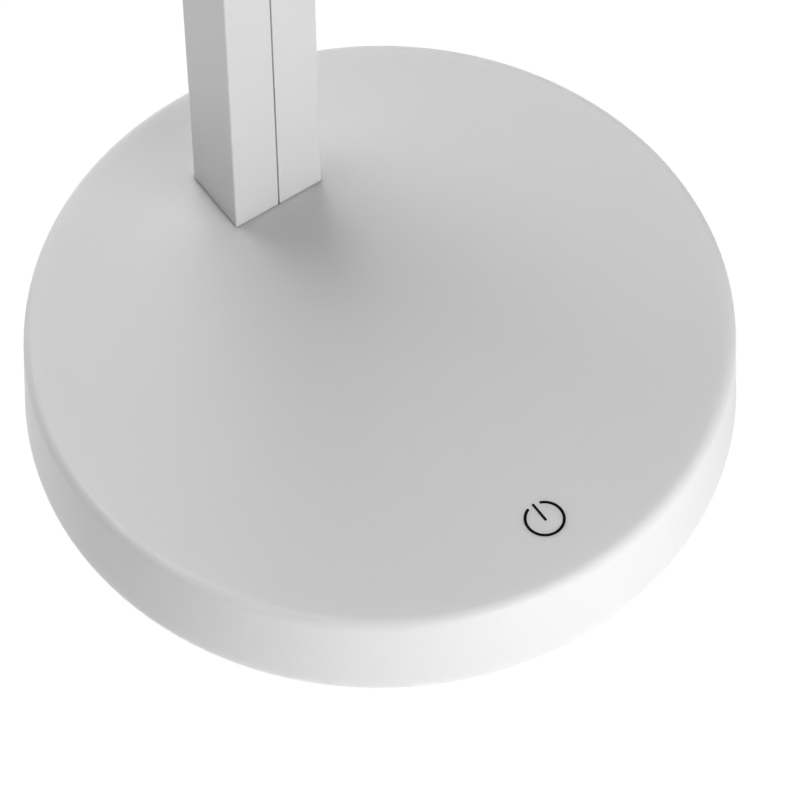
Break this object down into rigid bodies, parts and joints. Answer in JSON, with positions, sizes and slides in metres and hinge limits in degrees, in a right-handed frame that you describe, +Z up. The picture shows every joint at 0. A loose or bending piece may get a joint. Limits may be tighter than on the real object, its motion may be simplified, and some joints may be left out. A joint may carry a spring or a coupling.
{
  "type": "folding led desk lamp",
  "caption": "Rechargeable desk lamp: round weighted base with a touch key, slim rectangular post and a flat light arm that folds down along the post.",
  "frame": {"origin": "middle of the round base, on the desk surface that its pad rests on", "axes": "+Z up, +X to the user's right, -Y towards the user; the post stands at the rear (+Y) and the open light arm reaches forward over the base (-Y)"},
  "size_m": [0.1524, 0.323, 0.3408],
  "materials": {
    "white_plastic": "fine matte moulding texture",
    "white_arm": "fine matte moulding texture",
    "plate_plastic": "matte moulding",
    "pad_rubber": "matte silicone sheet",
    "zinc_screw": "zinc plated",
    "weight_iron": "sawn and oiled plate",
    "cell_wrap": "shrink wrap over a metal can",
    "nickel": "nickel strip",
    "black_plastic": "matte moulding",
    "board_green": "solder mask",
    "chip_black": "moulded packages",
    "socket_steel": "bright stamped sheet",
    "core_steel": "bare steel tube",
    "cable_black": "PVC sheath",
    "lead_red": "PVC sheath",
    "lead_grey": "PVC sheath",
    "bush_nylon": "self-lubricating nylon",
    "hinge_steel": "turned steel",
    "tongue_steel": "satin nickel plated",
    "spine_aluminium": "mill finish",
    "led_white": "white solder mask on aluminium",
    "led_chip": "phosphor window in a white package",
    "opal": "opal satin acrylic"
  },
  "bodies": {
    "stand": {"base_cover": "white_plastic", "base_plate": "plate_plastic", "anti_slip_pad": "pad_rubber", "cover_screws": "zinc_screw", "plate_screws": "zinc_screw", "counterweight": "weight_iron", "battery_cells": "cell_wrap", "battery_strips": "nickel", "battery_cradle": "black_plastic", "battery_leads": "lead_red", "control_board": "board_green", "board_parts": "chip_black", "board_screws": "zinc_screw", "usb_socket": "socket_steel", "touch_board": "board_green", "touch_lead": "lead_grey", "post_core": "core_steel", "post_shell_left": "white_plastic", "post_shell_right": "white_plastic", "post_cable": "cable_black", "hinge_bushes": "bush_nylon", "friction_washer": "bush_nylon", "hinge_caps": "white_plastic", "thrust_washers": "bush_nylon"},
    "light_arm": {"hinge_pin": "hinge_steel", "spring_washer": "hinge_steel", "hinge_nut": "hinge_steel", "arm_tongue": "tongue_steel", "tongue_screws": "zinc_screw", "arm_spine": "spine_aluminium", "arm_housing": "white_arm", "root_cover": "white_arm", "root_screws": "zinc_screw", "arm_end_caps": "white_arm", "led_board": "led_white", "led_chips": "led_chip", "diffuser": "opal", "arm_cable": "cable_black"}
  },
  "joints": [
    {"name": "arm_fold", "type": "hinge", "parent": "stand", "child": "light_arm", "pos_m": [0, 0.0462, 0.32], "axis": [1, 0, 0], "range_deg": [-90, 90]}
  ]
}
